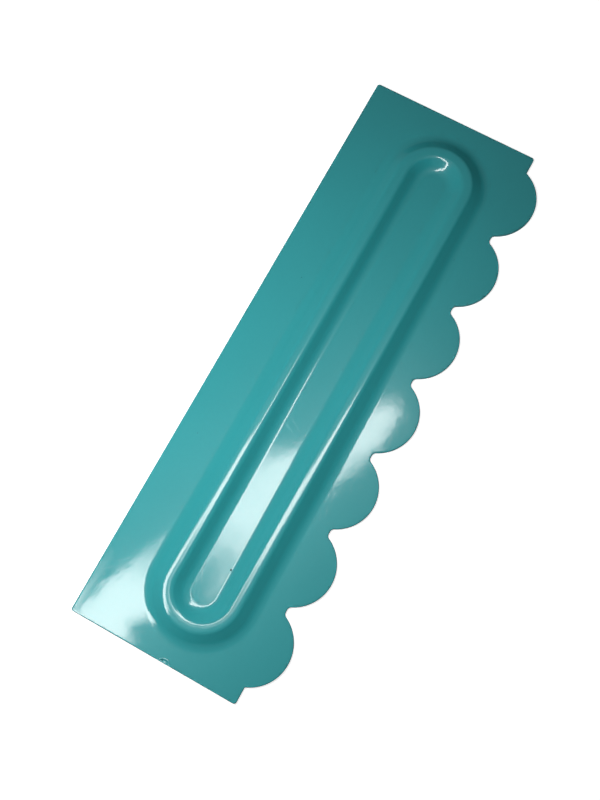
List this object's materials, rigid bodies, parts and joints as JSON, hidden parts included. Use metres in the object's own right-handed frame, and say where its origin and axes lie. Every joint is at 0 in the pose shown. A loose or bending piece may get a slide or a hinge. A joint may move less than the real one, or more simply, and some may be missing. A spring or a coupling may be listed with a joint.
{
  "type": "icing smoother",
  "caption": "Flat hand scraper for icing: one straight edge, one scalloped edge, and a raised oval ring along the middle as its grip.",
  "frame": {"origin": "middle of the outline's bounding rectangle, on the plane that the plate's underside lies on", "axes": "+X along the plate, away from the end with the gate mark; +Y towards the straight edge; +Z out of the side with the raised ring"},
  "size_m": [0.228, 0.076, 0.0047],
  "materials": {
    "teal_plastic": "polished injection moulding, teal"
  },
  "bodies": {
    "root": {"smoother_blade": "teal_plastic"}
  },
  "joints": []
}
